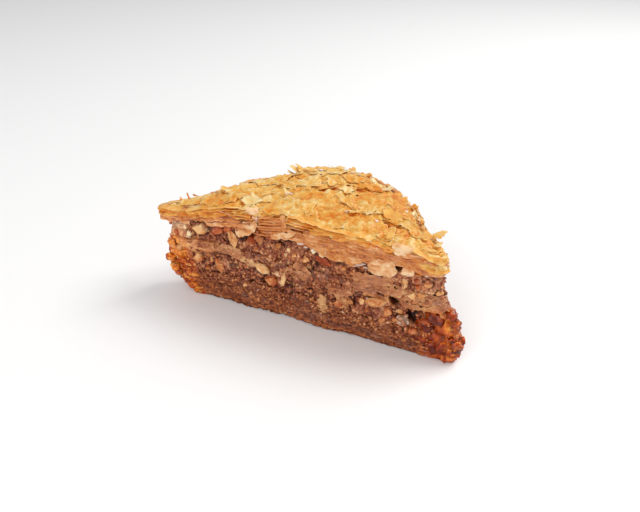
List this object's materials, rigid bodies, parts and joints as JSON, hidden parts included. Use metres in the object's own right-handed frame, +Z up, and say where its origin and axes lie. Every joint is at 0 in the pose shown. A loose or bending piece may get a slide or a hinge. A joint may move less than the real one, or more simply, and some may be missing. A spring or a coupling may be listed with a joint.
{
  "type": "baklava piece",
  "caption": "Triangular piece of baklava: crisp flaky top, two chopped-nut fillings between soaked pastry layers, flat underside to rest on.",
  "frame": {"origin": "middle of the piece's footprint box, on the surface it rests on", "axes": "+X along the long cut face from its drooping point to its stepped point, the long cut face looks towards -Y, +Z up"},
  "size_m": [0.1038, 0.0472, 0.0402],
  "materials": {
    "soaked_pastry": "moist, syrup-soaked, satin",
    "nut_filling": "moist chopped nuts, satin",
    "soft_pastry": "soft, translucent, satin",
    "baked_flakes": "crisp flaky sheets with a thin syrup glaze"
  },
  "bodies": {
    "root": {"base_pastry": "soaked_pastry", "lower_nut_filling": "nut_filling", "middle_pastry": "soft_pastry", "upper_nut_filling": "nut_filling", "top_pastry": "baked_flakes"}
  },
  "joints": []
}
